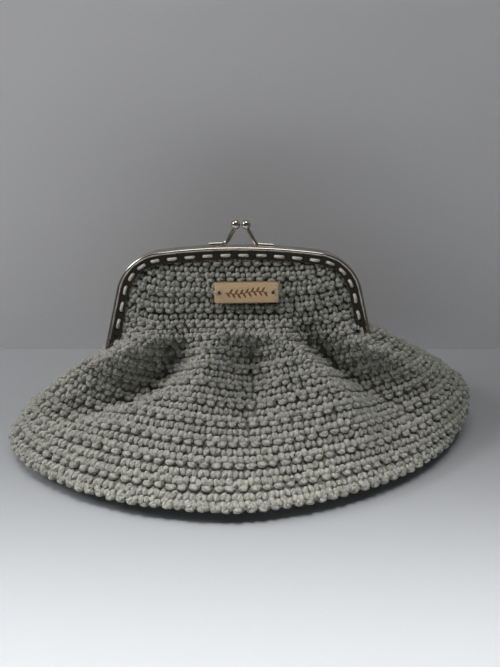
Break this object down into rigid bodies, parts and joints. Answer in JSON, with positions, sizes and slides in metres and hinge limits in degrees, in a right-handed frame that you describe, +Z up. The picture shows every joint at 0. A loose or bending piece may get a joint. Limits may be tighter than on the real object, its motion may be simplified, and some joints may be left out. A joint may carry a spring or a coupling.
{
  "type": "crocheted kiss-lock purse",
  "caption": "Crocheted kiss-lock purse: a flared, folded pouch sewn to an arched metal frame with a ball clasp, with a small wooden tag on the front.",
  "frame": {"origin": "centre of the box's base, on the table", "axes": "+X to the right along the frame, +Y from the front to the back, +Z up"},
  "size_m": [0.2322, 0.1226, 0.1056],
  "materials": {
    "crochet": "matte twisted cotton, grey-sage",
    "frame_metal": "polished nickel",
    "tag_wood": "pale sanded birch"
  },
  "bodies": {
    "root": {"crochet_body": "crochet", "frame_front": "frame_metal", "frame_back": "frame_metal", "hinge_pin_left": "frame_metal", "hinge_pin_right": "frame_metal", "wooden_tag": "tag_wood"}
  },
  "joints": []
}
